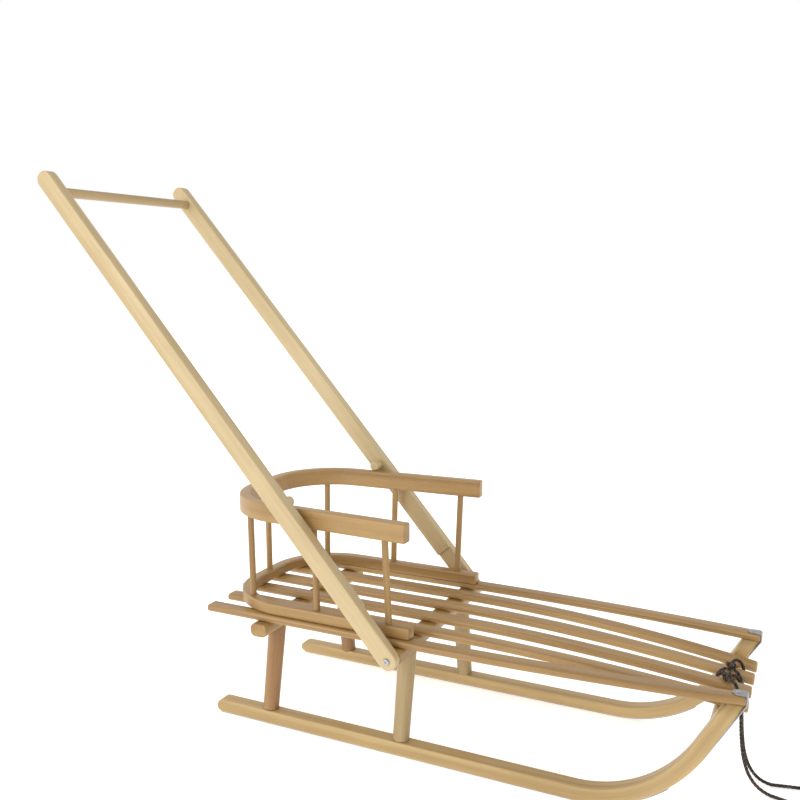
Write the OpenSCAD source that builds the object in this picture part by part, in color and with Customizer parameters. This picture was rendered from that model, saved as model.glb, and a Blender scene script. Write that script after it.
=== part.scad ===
// Wooden child's sledge: two bent ash runners, slatted seat, bent-wood back rest and a
// push handle that folds over the seat.  +X is the front, +Z is up, millimetres.
// The ground is z = 0 and the origin is the middle of the footprint at rest.

/* [Seat] */
// Height of the slat tops above the ground
seat_h = 185; // [170:1:215]
// Width of one seat slat
slat_w = 24; // [20:1:28]
// Thickness of one seat slat
slat_t = 11; // [9:0.5:13]
// How far the outer slats stay inside the crossbar ends
slat_inset = 11; // [8:0.5:16]
// Distance between slat centres at the front end
slat_pitch_front = 44.8; // [43:0.1:48]
// Rear overhang of the outer slats behind the middle crossbar
slat_rear = 338; // [310:1:360]
// How much further back the two centre slats reach
slat_rear_extra = 10; // [0:1:15]
// How far the tips of the four inner slats drop below the seat
slat_drop = 30; // [20:1:34]

/* [Frame] */
// Width of a crossbar, front to back
crossbar_w = 29; // [24:1:34]
// Height of a crossbar
crossbar_h = 21; // [18:1:26]
// Corner radius of a crossbar
crossbar_r = 8; // [4:0.5:9]
// Distance from the middle crossbar back to the rear crossbar
rear_bar_x = 232; // [200:1:250]
// Distance from the middle crossbar forward to the front crossbar
front_bar_x = 446; // [430:1:452]
// Diameter of the round front crossbar
front_bar_d = 22; // [18:0.5:24]
// How much narrower a leg is than its crossbar
leg_shoulder = 1; // [0.5:0.5:3]
// Leg diameter at the runner
leg_foot_d = 25; // [22:0.5:27]
// Leg centre line at the crossbar, out from the middle
leg_top_y = 107; // [98:1:112]
// Diameter of the leg tenons
tenon_d = 16; // [12:0.5:18]

/* [Runners] */
// Runner centre line at the ground, out from the middle
runner_y = 131; // [126:1:140]
// Runner width
runner_w = 24; // [20:0.5:26]
// Runner height
runner_h = 20; // [17:0.5:22]
// Rear end of the runners behind the middle crossbar
runner_rear = 330; // [320:1:360]
// Bend radius of the runner underside
runner_bend_r = 200; // [180:5:215]
// Steepness of the straight horn at the front, degrees
horn_angle = 60; // [56:1:64]
// Width of the steel shoe strip
shoe_w = 16; // [12:0.5:18]
// Thickness of the steel shoe strip
shoe_t = 2; // [1.5:0.25:3]

/* [Back rest] */
// Height of the top rail above the slats, to its upper face
rail_top_h = 178; // [160:1:190]
// Height of the top rail section
top_rail_h = 29; // [24:0.5:34]
// Thickness of the top rail section
top_rail_t = 18; // [15:0.5:20]
// Half width over the front ends of the top rail, which sets the width of the sledge
top_rail_half = 158; // [150:0.5:170]
// Inward taper of the top rail arms toward the back, degrees
top_rail_taper = 3; // [1:0.5:4]
// Height of the bottom rail section
bottom_rail_h = 17.5; // [14:0.5:20]
// Thickness of the bottom rail section
bottom_rail_t = 20; // [17:0.5:22]
// How far the bottom rail stays inside the outer slats
rail_inset = 7; // [2:0.5:10]
// How far the rails stop short of the rear ends of the slats
rail_setback = 11; // [6:1:25]
// How far the arms reach in front of the middle crossbar
rail_front = 19; // [10:1:24]
// Outer radius of the rear bends
rail_bend_r = 112; // [95:1:118]
// Spindle diameter
spindle_d = 10; // [8:0.5:11]
// Diameter of the spindle tenons
spindle_tenon_d = 7; // [5:0.5:7.5]

/* [Handle] */
// Distance from the pivot to the centre of the rounded top end
handle_len = 936; // [860:2:960]
// Width of a handle bar, seen from the side
bar_h = 29; // [26:0.5:32]
// Thickness of a handle bar
bar_t = 19.5; // [17:0.5:22]
// Gap left on each side between the handle bars and what they swing past
side_gap = 0.5; // [0.4:0.1:3]
// Depth of the recess where a bar laps over the crossbar end
lap_depth = 4; // [3:0.5:5]
// Length of that recess above the pivot
lap_len = 82; // [70:1:95]
// Grip dowel diameter
grip_d = 16; // [14:0.5:20]
// Distance of the grip below the centre of the top end
grip_down = 26; // [20:1:40]
// Rest peg diameter
peg_d = 16; // [12:0.5:18]
// Distance of the rest pegs from the pivot
peg_at = 277; // [265:1:285]
// How far a rest peg lies over the top rail
peg_lap = 8; // [5:0.5:12]
// Diameter of the pivot bolt shank
bolt_d = 6; // [5:0.5:8]
// Diameter of the pivot bolt head
bolt_head_d = 10; // [9:0.5:12]

/* [Pull rope] */
// Rope diameter
rope_d = 5; // [5:0.5:6]
// Mean radius of the rope coil, at the middle of its turns
coil_r = 25.5; // [25:0.5:30]

/* [Hidden] */
$fn = 48;

// Clearances
fit = 0.05;        // radial gap of a pin that turns or slides in its bore
slip = 0.3;        // gap between faces of parts that move past each other

// Colours
beech = [0.72, 0.58, 0.37];
ash = [0.77, 0.67, 0.45];
birch = [0.87, 0.80, 0.66];
leg_wood = [0.65, 0.47, 0.28];
dowel_wood = [0.63, 0.53, 0.37];
steel = [0.65, 0.65, 0.67];
zinc = [0.78, 0.79, 0.82];
rope_black = [0.12, 0.11, 0.10];

// Widths: the handle bars pass just outside the top rail and lap over the crossbar ends
bar_inner = top_rail_half + side_gap;
bar_outer = bar_inner + bar_t;
crossbar_half = bar_inner + lap_depth - side_gap;
slat_pitch = (crossbar_half - slat_inset - slat_w / 2) / 2.5;
bottom_rail_half = crossbar_half - slat_inset - rail_inset;
rail_rear = slat_rear - rail_setback;
leg_top_d = crossbar_w - leg_shoulder;

// Heights
bar_top = seat_h - slat_t;                    // top of the crossbars
bar_mid = bar_top - crossbar_h / 2;           // middle of the crossbars, the pivot height
bar_low = bar_top - crossbar_h;               // underside of the crossbars
runner_top = shoe_t + runner_h;
rail_top_z = seat_h + rail_top_h;
top_rail_z = rail_top_z - top_rail_h;

// Handle at rest: the pegs lie on the top rail
peg_rise = rail_top_z + slip + peg_d / 2 - bar_mid;
rest_angle = asin(peg_rise / peg_at);         // above the horizontal, leaning back
peg_x = -peg_at * cos(rest_angle);
peg_out = bar_inner - arm_half(top_rail_half, top_rail_taper, peg_x) + peg_lap;

// Runner path: flat sole, one bend, then the straight horn up to the slat ends
horn_top = seat_h - slat_t;
horn_run = (horn_top - shoe_t - runner_bend_r * (1 - cos(horn_angle))) / tan(horn_angle);
slat_tip = front_bar_x + 33;                  // front ends of the six slats
drop_x = 20;                                  // the slats are straight behind this
bend_x = slat_tip - 1 - runner_bend_r * sin(horn_angle) - horn_run;
lean = (runner_y - 2.5 * slat_pitch_front) / (horn_top - runner_h / 2);

// Everything is placed from the middle crossbar, which is this far ahead of the origin
shoe_front = slat_tip + shoe_t;
handle_back = handle_len * cos(rest_angle) + bar_h / 2;
mid_x = (handle_back - shoe_front) / 2;
module at_mid() translate([mid_x, 0, 0]) children();

// ---------------------------------------------------------------- swept shapes
// Closed solid through rings of points; every ring has the same number of points.
module skin(rings) {
    n = len(rings);
    m = len(rings[0]);
    points = [for (r = rings) each r];
    sides = [for (i = [0:n - 2], j = [0:m - 1])
        each [[i * m + j, i * m + (j + 1) % m, (i + 1) * m + j],
              [i * m + (j + 1) % m, (i + 1) * m + (j + 1) % m, (i + 1) * m + j]]];
    caps = [[for (j = [m - 1:-1:0]) j], [for (j = [0:m - 1]) (n - 1) * m + j]];
    polyhedron(points, concat(sides, caps), convexity = 6);
}

// Outline of a w by h section with rounded corners of radius r, three points per corner
function section(w, h, r) = [
    for (c = [[1, -1, -90], [1, 1, 0], [-1, 1, 90], [-1, -1, 180]], a = [0, 45, 90])
        [c[0] * (w / 2 - r) + r * cos(c[2] + a), c[1] * (h / 2 - r) + r * sin(c[2] + a)]];

function unit(v) = v / norm(v);

// A round tube of diameter d through the points of a path, one ring at each
function tangents(p) = [for (i = [0:len(p) - 1])
    unit(p[min(i + 1, len(p) - 1)] - p[max(i - 1, 0)])];
function carried(n, t) = unit(n - (n * t) * t);
// The start direction n is carried along the path, so the tube never twists
function frames(t, n, i = 0) = i >= len(t) ? []
    : let (m = carried(n, t[i])) concat([m], frames(t, m, i + 1));
module tube(p, d, start, sides = 8) {
    t = tangents(p);
    f = frames(t, start);
    skin([for (i = [0:len(p) - 1]) [for (k = [0:sides - 1])
        p[i] + d / 2 * (cos(360 * k / sides) * f[i] + sin(360 * k / sides) * cross(t[i], f[i]))]]);
}

// ---------------------------------------------------------------- common solids
// Right-hand parts (side -1) are mirrored copies of the left-hand ones (side 1)
module on_side(side) mirror([0, side < 0 ? 1 : 0, 0]) children();

// A rod of diameter d1 to d2 from point a to point b
module rod(a, b, d1, d2) {
    v = b - a;
    translate(a) rotate([0, acos(v[2] / norm(v)), atan2(v[1], v[0])])
        cylinder(h = norm(v), d1 = d1, d2 = d2);
}

// The space between two heights
module slab(z1, z2) translate([-600, -300, z1]) cube([1300, 600, z2 - z1]);

// A bar along Y with a rounded section, centred on the origin
module rounded_bar(half, w, h, r) rotate([90, 0, 0]) linear_extrude(2 * half, center = true) {
    square([w - 2 * r, h], center = true);
    square([w, h - 2 * r], center = true);
    for (x = [-1, 1], z = [-1, 1]) translate([x * (w / 2 - r), z * (h / 2 - r)]) circle(r);
}

// ---------------------------------------------------------------- runners and shoes
// Point of the runner side view at distance s along the sole and u above the sole line
function sole_point(s, u) = s <= bend_x ? [s, u]
    : let (a = min((s - bend_x) * 180 / (PI * runner_bend_r), horn_angle))
        [bend_x + (runner_bend_r - u) * sin(a), runner_bend_r - (runner_bend_r - u) * cos(a)];
bend_end = bend_x + runner_bend_r * horn_angle * PI / 180;
// The same u above the sole line where the horn is cut level under the slat
function horn_end(u) = let (q = sole_point(bend_end, u),
                            t = (horn_top - shoe_t - q[1]) / sin(horn_angle))
    [q[0] + t * cos(horn_angle), q[1] + t * sin(horn_angle)];
// The runner leans inward as it rises, so its sole stays flat
function lean_y(z) = runner_y - lean * (z - runner_h / 2);
function leaning(q, y) = [q[0], lean_y(q[1] + shoe_t) + y, q[1] + shoe_t];
bend_steps = 10;
bend_stations = [for (i = [0:bend_steps]) bend_x + (bend_end - bend_x) * i / bend_steps];

module runner_solid() {
    core = section(runner_w, runner_h, 3);
    tail = runner_h / 2;                      // the rear end is rounded over this length
    skin(concat(
        [for (a = [15, 35, 60, 90]) let (k = sin(a), s = tail * (1 - cos(a)) - runner_rear)
            [for (c = core) leaning(sole_point(s, runner_h / 2 + c[1] * k), c[0])]],
        [for (s = bend_stations)
            [for (c = core) leaning(sole_point(s, runner_h / 2 + c[1]), c[0])]],
        [[for (c = core) leaning(horn_end(runner_h / 2 + c[1]), c[0])]]));
}

module runner(side) color(ash) at_mid() on_side(side) difference() {
    runner_solid();
    leg_tenons(fit);
    front_tenon(fit);
    screw_shanks();
}

plate_len = 18;                               // the shoe end lies this far over the slat tip
module shoe(side) color(steel) at_mid() on_side(side) difference() {
    edge = [[-1, 0], [1, 0], [1, -shoe_t], [-1, -shoe_t]];
    skin(concat(
        [for (s = concat([6 - runner_rear], bend_stations))
            [for (c = edge) leaning(sole_point(s, c[1]), c[0] * shoe_w / 2)]],
        [[for (c = edge) let (x = slat_tip - c[1]) [x, lean_y(horn_top) + c[0] * shoe_w / 2,
            horn_top + (c[1] < 0 ? -shoe_t * tan(15) : 0)]]],
        [[for (c = edge) [slat_tip - c[1], lean_y(seat_h) + c[0] * shoe_w / 2, seat_h - c[1]]]],
        [[for (c = edge) [slat_tip - plate_len, lean_y(seat_h) + c[0] * shoe_w / 2,
            seat_h - c[1]]]]));
    screw_shanks();
    screw_heads();
}

// Screws that hold each shoe: four under the sole and one through the plate on the slat
screw_d = 3;
screw_head_d = 6;
screw_len = 14;
sole_screw_x = [20 - runner_rear, -120, 90, 240];
plate_screw = [slat_tip - 11, lean_y(seat_h), seat_h + shoe_t];
module screw_shanks() {
    for (x = sole_screw_x) translate([x, runner_y, 0]) cylinder(h = screw_len, d = screw_d);
    translate(plate_screw - [0, 0, screw_len + 6]) cylinder(h = screw_len + 6, d = screw_d);
}
module screw_heads() {
    for (x = sole_screw_x) translate([x, runner_y, 0])
        cylinder(h = shoe_t, d1 = screw_head_d, d2 = screw_d);
}
module shoe_screws() color(zinc) at_mid() for (side = [-1, 1]) on_side(side) {
    screw_shanks();
    screw_heads();
    translate(plate_screw) cylinder(h = 1.2, d1 = screw_head_d, d2 = 4);
}

// ---------------------------------------------------------------- crossbars and legs
leg_foot_y = lean_y(runner_top);
leg_x = [-rear_bar_x, 0];
function leg_point(x, z) =
    [x, leg_top_y + (leg_foot_y - leg_top_y) * (bar_low - z) / (bar_low - runner_top), z];
tenon_len = 12;
module leg_tenon(x, gap) rod(leg_point(x, runner_top - tenon_len),
    leg_point(x, bar_low + tenon_len), tenon_d + 2 * gap, tenon_d + 2 * gap);
module leg_tenons(gap) for (x = leg_x) leg_tenon(x, gap);

module crossbar_solid(x) translate([x, 0, bar_mid])
    rounded_bar(crossbar_half, crossbar_w, crossbar_h, crossbar_r);

module crossbar(x) difference() {
    crossbar_solid(x);
    for (side = [-1, 1]) on_side(side) leg_tenon(x, fit);
    nails();
}

module rear_crossbar() color(beech) at_mid() crossbar(-rear_bar_x);
module middle_crossbar() color(beech) at_mid() difference() {
    crossbar(0);
    for (side = [-1, 1]) on_side(side) bolt_shank(0);
}

// The leg shoulder is shaped round the underside of its crossbar
module leg(x, side) color(leg_wood) at_mid() on_side(side) {
    difference() {
        intersection() {
            rod(leg_point(x, runner_top - 5), leg_point(x, bar_low + 12), leg_foot_d, leg_top_d);
            slab(runner_top, bar_low + crossbar_r - 0.5);
        }
        crossbar_solid(x);
    }
    intersection() {
        leg_tenon(x, 0);
        slab(runner_top - tenon_len + 1, bar_low + tenon_len - 1);
    }
}

// The front crossbar lies under the inner slats and is tenoned into the horns
front_slope = atan(2 * slat_drop * (front_bar_x - drop_x) / pow(slat_tip - drop_x, 2));
front_bar_z = slat_z(front_bar_x) - slat_t - front_bar_d / 2 / cos(front_slope) - fit;
front_tenon_d = 12;
front_shoulder = lean_y(front_bar_z + front_bar_d / 2) - runner_w / 2;
module front_tenon(gap) translate([front_bar_x, 0, front_bar_z]) rotate([-90, 0, 0])
    cylinder(h = front_shoulder + 16, d = front_tenon_d + 2 * gap);
module front_crossbar() color(ash) at_mid() difference() {
    union() {
        translate([front_bar_x, 0, front_bar_z]) rotate([90, 0, 0])
            cylinder(h = 2 * front_shoulder, d = front_bar_d, center = true);
        for (side = [-1, 1]) on_side(side) front_tenon(0);
    }
    nails();
}

// ---------------------------------------------------------------- seat slats
// Forward of drop_x the slats draw together and the inner ones bend down
function draw_in(x) = pow(max(0, x - drop_x) / (slat_tip - drop_x), 2);
function slat_y(k, x) = k * (slat_pitch - (slat_pitch - slat_pitch_front) * draw_in(x));
function slat_z(x) = seat_h - slat_drop * draw_in(x);
slat_round = 3;
slat_steps = 12;

// k counts the pitches from the middle: 0.5, 1.5 and 2.5 on each side
module slat(k) {
    outer = abs(k) > 2;
    rear = -slat_rear - (abs(k) < 1 ? slat_rear_extra : 0);
    core = section(slat_w, slat_t, slat_round);
    function ring(x, shrink) = [for (c = core) [x, slat_y(k, x) + c[0] * (1 - shrink / slat_w),
        (outer ? seat_h : slat_z(x)) - slat_t / 2 + c[1] * (1 - shrink / slat_t)]];
    color(beech) at_mid() difference() {
        skin(concat(
            [ring(rear, 4), ring(rear + 1, 1.5), ring(rear + 3, 0), ring(drop_x, 0)],
            [for (i = [1:slat_steps]) ring(drop_x + (slat_tip - 3 - drop_x) * i / slat_steps, 0)],
            outer ? [ring(slat_tip, 0)] : [ring(slat_tip - 1, 1.5), ring(slat_tip, 4)]));
        nails();
        rail_screw_shanks();
        for (side = [-1, 1]) on_side(side) screw_shanks();
    }
}

// One nail through each slat into the crossbar under it, beside the middle of the two square
// crossbars.  The outer slats end on the horns, so they have no nail at the front crossbar.
// The nails are lost-head ones, driven flush with the top of the slats.
nail_d = 2.5;
nail_len = slat_t + crossbar_h - tenon_len - 1;  // stops above the leg tenons
nail_aside = 5;
nail_x = [nail_aside - rear_bar_x, nail_aside, front_bar_x];
function nail_slats(x) = x == front_bar_x ? [-1.5, -0.5, 0.5, 1.5] : [-2.5, -1.5, -0.5, 0.5, 1.5, 2.5];
module nails() for (x = nail_x, k = nail_slats(x))
    translate([x, slat_y(k, x), slat_z(x) - nail_len]) cylinder(h = nail_len, d = nail_d);
module slat_nails() color(zinc) at_mid() nails();

// ---------------------------------------------------------------- back rest
// Plan of a bent rail: a rear run, two bends of radius r and two arms that taper together
// toward the back.  inset moves the whole outline inward.
function arm_half(half, taper, x) = half - (rail_front - x) * tan(taper);
function bend_y(half, taper) =
    arm_half(half, taper, rail_bend_r - rail_rear) - rail_bend_r / cos(taper);
module rail_plan(half, taper, inset, front) {
    r = rail_bend_r - inset;
    x = rail_bend_r - rail_rear;
    y = bend_y(half, taper);
    w = arm_half(half, taper, front) - inset / cos(taper);
    t = [x - r * sin(taper), y + r * cos(taper)];
    polygon([[front, w], t, [x, y], [x - r, y], [x - r, -y], [x, -y], [t[0], -t[1]], [front, -w]]);
    for (side = [-1, 1]) translate([x, side * y]) circle(r, $fn = 96);
}
module rail(half, taper, thick, h, z) translate([0, 0, z]) linear_extrude(h) difference() {
    rail_plan(half, taper, 0, rail_front);
    rail_plan(half, taper, thick, rail_front + 1);
}

// Spindle stations: front, middle, in the bend, and one at the back
spindle_x = [rail_front - 37, rail_front - 160];
bend_turn = 58;                               // degrees round the bend from straight back
function on_arm(half, taper, thick, x) = [x, arm_half(half, taper, x) - thick / 2];
function on_bend(half, taper, thick) = let (r = rail_bend_r - thick / 2)
    [rail_bend_r - rail_rear - r * cos(bend_turn), bend_y(half, taper) + r * sin(bend_turn)];
function rail_spot(i, half, taper, thick) = i < 2 ? on_arm(half, taper, thick, spindle_x[i])
    : i == 2 ? on_bend(half, taper, thick) : [thick / 2 - rail_rear, 0];
spindle_low = seat_h + bottom_rail_h;
function spindle_foot(i) = concat(rail_spot(i, bottom_rail_half, 0, bottom_rail_t), spindle_low);
function spindle_head(i) =
    concat(rail_spot(i, top_rail_half, top_rail_taper, top_rail_t), top_rail_z);
spindle_tenon = 10;
module spindle_rod(i, d, extra) {
    a = spindle_foot(i);
    b = spindle_head(i);
    u = unit(b - a);
    rod(a - extra * u, b + extra * u, d, d);
}
// A rail is two mirrored halves, each with its own bores, and the back bore is on the seam
module bored_rail(half, taper, thick, h, z) difference() {
    for (side = [-1, 1]) on_side(side) difference() {
        intersection() {
            rail(half, taper, thick, h, z);
            translate([-rail_rear - 1, 0, z - 1]) cube([rail_rear + rail_front + 2, half + 1, h + 2]);
        }
        for (i = [0:2]) spindle_bore(i);
    }
    spindle_bore(3);
}
module spindle_bore(i) spindle_rod(i, spindle_tenon_d + 2 * fit, spindle_tenon);
module spindle(i, side) color(beech) at_mid() on_side(side) {
    intersection() {
        spindle_rod(i, spindle_d, 3);
        slab(spindle_low, top_rail_z);
    }
    spindle_rod(i, spindle_tenon_d, spindle_tenon - 0.5);
}

module bottom_rail() color(beech) at_mid() difference() {
    bored_rail(bottom_rail_half, 0, bottom_rail_t, bottom_rail_h, seat_h);
    rail_screw_shanks();
}
module top_rail() color(beech) at_mid()
    bored_rail(top_rail_half, top_rail_taper, top_rail_t, top_rail_h, top_rail_z);

// Screws from below through the slats into the bottom rail
rail_screw_len = slat_t + 12;
rail_mid = bottom_rail_half - bottom_rail_t / 2;
rail_screw_spots = [for (side = [-1, 1])
    each [[-60, side * rail_mid], [-190, side * rail_mid],
        [bottom_rail_t / 2 - rail_rear, side * slat_pitch / 2]]];
module rail_screw_shanks() for (p = rail_screw_spots)
    translate([p[0], p[1], seat_h - slat_t]) cylinder(h = rail_screw_len, d = screw_d);
module rail_screws() color(zinc) at_mid() {
    rail_screw_shanks();
    for (p = rail_screw_spots) translate([p[0], p[1], seat_h - slat_t - 1.5])
        cylinder(h = 1.5, d1 = 4.5, d2 = screw_head_d);
}

// ---------------------------------------------------------------- push handle
// Children are drawn along +X from the pivot and set up at the resting angle
module at_pivot() translate([0, 0, bar_mid]) rotate([0, 180 + rest_angle, 0]) children();
// A pin along Y, d across, from y1 to y2, at distance s from the pivot
module cross_pin(s, y1, y2, d) translate([s, y1, 0]) rotate([-90, 0, 0])
    cylinder(h = y2 - y1, d = d);

blind = 14;                                   // depth of the peg and grip sockets
grip_at = handle_len - grip_down;
module handle_bar(side) color(birch) at_mid() on_side(side) at_pivot() difference() {
    translate([0, bar_outer, 0]) rotate([90, 0, 0]) linear_extrude(bar_t) {
        circle(d = bar_h);
        translate([0, -bar_h / 2]) square([handle_len, bar_h]);
        translate([handle_len, 0]) circle(d = bar_h);
    }
    translate([-bar_h, bar_inner - 1, -bar_h]) cube([bar_h + lap_len, lap_depth + 1, 2 * bar_h]);
    cross_pin(0, bar_inner, bar_outer + 1, bolt_d + 2 * fit);
    cross_pin(grip_at, bar_inner - 1, bar_inner + blind, grip_d + 2 * fit);
    cross_pin(peg_at, bar_inner - 1, bar_inner + blind, peg_d + 2 * fit);
}
module handle_grip() color(dowel_wood) at_mid() at_pivot()
    cross_pin(grip_at, 0.5 - bar_inner - blind, bar_inner + blind - 0.5, grip_d);
module rest_peg(side) color(dowel_wood) at_mid() on_side(side) at_pivot()
    cross_pin(peg_at, bar_inner - peg_out, bar_inner + blind - 0.5, peg_d);

// The bolt is driven into the end of the middle crossbar and the bar turns on its shank
bolt_in = 40;
module bolt_shank(head_gap) translate([0, 0, bar_mid])
    cross_pin(0, crossbar_half - bolt_in, bar_outer + head_gap, bolt_d);
module pivot_bolt(side) color(zinc) at_mid() on_side(side) {
    bolt_shank(slip);
    translate([0, bar_outer + slip, bar_mid]) rotate([-90, 0, 0]) difference() {
        cylinder(h = 3, d1 = bolt_head_d, d2 = bolt_head_d - 2);
        translate([0, 0, 1.5]) cylinder(h = 2, d = 4);
    }
}

// ---------------------------------------------------------------- pull rope
// Knot: a short roll of rope lying across the top of an inner slat
knot_x = front_bar_x + 1;
knot_r = 6;
knot_y = [14, 24];
knot_z = slat_z(knot_x) + knot_r + 0.1;
module knot() {
    translate([knot_x, knot_y[0], knot_z]) rotate([-90, 0, 0])
        cylinder(h = knot_y[1] - knot_y[0], r = knot_r);
    for (y = knot_y) translate([knot_x, y, knot_z]) sphere(knot_r);
}
module rope_knots() color(rope_black) at_mid() for (side = [-1, 1]) on_side(side) knot();

// The loop goes from the knot over the slat edge, round under the crossbar and back up the
// other side of the slat.  Its points are given from the front crossbar's centre line.
loop_points = [[1, 29.5, 28], [6, 35, 31], [12, 38, 28], [16, 39.5, 20], [17, 39.5, 9],
    [15, 38, -5], [9, 34, -12.5], [0, 26, -15], [-9, 16, -12.5], [-15, 8, -5], [-16, 5, 9],
    [-14, 4, 20], [-8, 5, 27], [-3, 8.5, 28]];
module rope_loop(side) color(rope_black) at_mid() on_side(side)
    translate([front_bar_x, 0, front_bar_z]) tube(loop_points, rope_d, [0, 0, 1]);

// The lead leaves the knot, drops between the two middle slats and runs to the coil
coil_x = 625;
coil_low = 1 + rope_d / 2;                    // height of the lower layer of turns
coil_high = coil_low + rope_d;
coil_out = coil_r + rope_d;
function lead_points(z_end) = [[451, 11, 164], [457, 7, 162], [461.5, 5.5, 155],
    [463.5, 5.5, 145], [465, 5.5, 125], [466, 6, 100], [468, 7, 72], [472, 8, 46], [480, 10, 24],
    [493, 12, 9], [510, 15, 2.5], [532, 20, 2.5], [556, 25, 2.5], [580, 28.5, 2.25 + 0.12 * z_end],
    [602, coil_out, 0.3 + 0.85 * z_end], [coil_x, coil_out, z_end]];
module rope_lead(side, z_end) color(rope_black) at_mid() on_side(side)
    tube(lead_points(z_end), rope_d, [0, 0, 1]);

module rope_coil() color(rope_black) at_mid() translate([coil_x, 0, 1])
    rotate_extrude($fn = 96) translate([coil_r - 1.5 * rope_d, 0])
        square([3 * rope_d, 2 * rope_d]);

tie_w = 8;
module coil_tie() color(rope_black) at_mid()
    translate([coil_x + coil_r - 1.5 * rope_d - 1.6, -tie_w / 2, 0]) difference() {
        cube([3 * rope_d + 2.6, tie_w, 2 * rope_d + 2]);
        translate([1, -1, 1]) cube([3 * rope_d + 0.6, tie_w + 2, 2 * rope_d]);
    }

runner(-1);  // right_runner
runner(1);  // left_runner
shoe(-1);  // right_shoe
shoe(1);  // left_shoe
shoe_screws();
rear_crossbar();
middle_crossbar();
front_crossbar();
leg(-rear_bar_x, -1);  // rear_right_leg
leg(-rear_bar_x, 1);  // rear_left_leg
leg(0, -1);  // middle_right_leg
leg(0, 1);  // middle_left_leg
slat(-2.5);  // slat_1
slat(-1.5);  // slat_2
slat(-0.5);  // slat_3
slat(0.5);  // slat_4
slat(1.5);  // slat_5
slat(2.5);  // slat_6
slat_nails();
bottom_rail();
top_rail();
spindle(0, -1);  // spindle_front_right
spindle(0, 1);  // spindle_front_left
spindle(1, -1);  // spindle_mid_right
spindle(1, 1);  // spindle_mid_left
spindle(2, -1);  // spindle_corner_right
spindle(2, 1);  // spindle_corner_left
spindle(3, 1);  // spindle_back
rail_screws();
pivot_bolt(-1);  // right_pivot_bolt
pivot_bolt(1);  // left_pivot_bolt
handle_bar(-1);  // right_handle_bar
handle_bar(1);  // left_handle_bar
handle_grip();
rest_peg(-1);  // right_rest_peg
rest_peg(1);  // left_rest_peg
rope_loop(-1);  // right_rope_loop
rope_loop(1);  // left_rope_loop
rope_knots();
rope_lead(-1, coil_high);  // right_rope_lead
rope_lead(1, coil_low);  // left_rope_lead
rope_coil();
coil_tie();
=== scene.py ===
# %% [markdown]
# # A child's bent-wood sledge with a push handle
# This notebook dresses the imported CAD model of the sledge.  Every wooden, steel and rope piece is
# rebuilt in fine mesh at the CAD model's own sizes and places, because the CAD solids have sharp
# edges and no grain.  The sledge has two bent runners, four splayed legs, three crossbars, six
# slats, a bent back rest on seven spindles, a folding handle and a pull rope.

# %% load the frame
import math
import random

import bpy
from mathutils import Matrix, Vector


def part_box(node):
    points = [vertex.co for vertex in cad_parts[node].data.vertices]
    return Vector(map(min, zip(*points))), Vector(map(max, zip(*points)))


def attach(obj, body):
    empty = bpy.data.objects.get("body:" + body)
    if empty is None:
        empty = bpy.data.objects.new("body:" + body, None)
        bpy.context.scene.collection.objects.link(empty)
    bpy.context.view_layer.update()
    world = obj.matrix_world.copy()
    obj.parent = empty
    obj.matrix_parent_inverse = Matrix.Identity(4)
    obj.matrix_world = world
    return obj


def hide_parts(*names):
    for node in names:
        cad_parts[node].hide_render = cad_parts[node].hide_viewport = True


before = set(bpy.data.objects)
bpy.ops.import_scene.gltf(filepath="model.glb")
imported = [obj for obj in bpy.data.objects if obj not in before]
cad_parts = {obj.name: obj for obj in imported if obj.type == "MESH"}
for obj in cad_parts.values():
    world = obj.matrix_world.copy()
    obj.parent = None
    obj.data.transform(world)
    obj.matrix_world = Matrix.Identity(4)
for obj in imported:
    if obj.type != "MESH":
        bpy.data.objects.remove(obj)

random.seed(11)
MM = 0.001                       # pieces are worked out in millimetres and made in metres
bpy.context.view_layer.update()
bar_low_corner, bar_high_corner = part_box("middle_crossbar")
mid_x = (bar_low_corner.x + bar_high_corner.x) / 2   # the middle crossbar carries everything

# %% [markdown]
# ## Camera
# The sledge is seen from its right side and a little in front, from 0.72 m above the floor and
# tilted slightly down, so that the slats fan toward the viewer.  A camera can be aimed with a
# constraint, but two angles turned into a direction say just as much and leave nothing to follow.
# The camera and the rope come first; the rope's unseen length was judged from the camera's view.

# %% camera
AZIMUTH, ELEVATION = math.radians(25.69), math.radians(8.01)
LENS, SENSOR = 41.08, 36
AHEAD, ASIDE, ABOVE = 0.557, -1.291, 0.5332   # from the middle crossbar and the seat, in metres
seat_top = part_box("slat_1")[1].z
camera_data = bpy.data.cameras.new("camera")
camera_data.lens, camera_data.sensor_width = LENS, SENSOR
camera = bpy.data.objects.new("camera", camera_data)
camera.location = (mid_x + AHEAD, ASIDE, seat_top + ABOVE)
looking = Vector((-math.sin(AZIMUTH) * math.cos(ELEVATION),
                  math.cos(AZIMUTH) * math.cos(ELEVATION), -math.sin(ELEVATION)))
camera.rotation_euler = looking.to_track_quat("-Z", "Y").to_euler()
bpy.context.scene.collection.objects.link(camera)
bpy.context.scene.camera = camera
print("camera at", [round(v, 3) for v in camera.location])

# %% [markdown]
# ## Blanks: how every stick is made
# A joiner first planes a straight blank, eases its edges, and only then bends or drills it.  In
# Blender a stick could be a cube with a bevel and a curve modifier, but then the grain would have
# to be put back by hand.  Here a blank is a row of stations along its length, each with a rounded
# section, and a place function says where a point of the straight blank ends up on the sledge.
# The position in the straight blank stays on the mesh as the grain attribute, so the figure of
# the wood follows every bend as it does in steamed wood.

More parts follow.
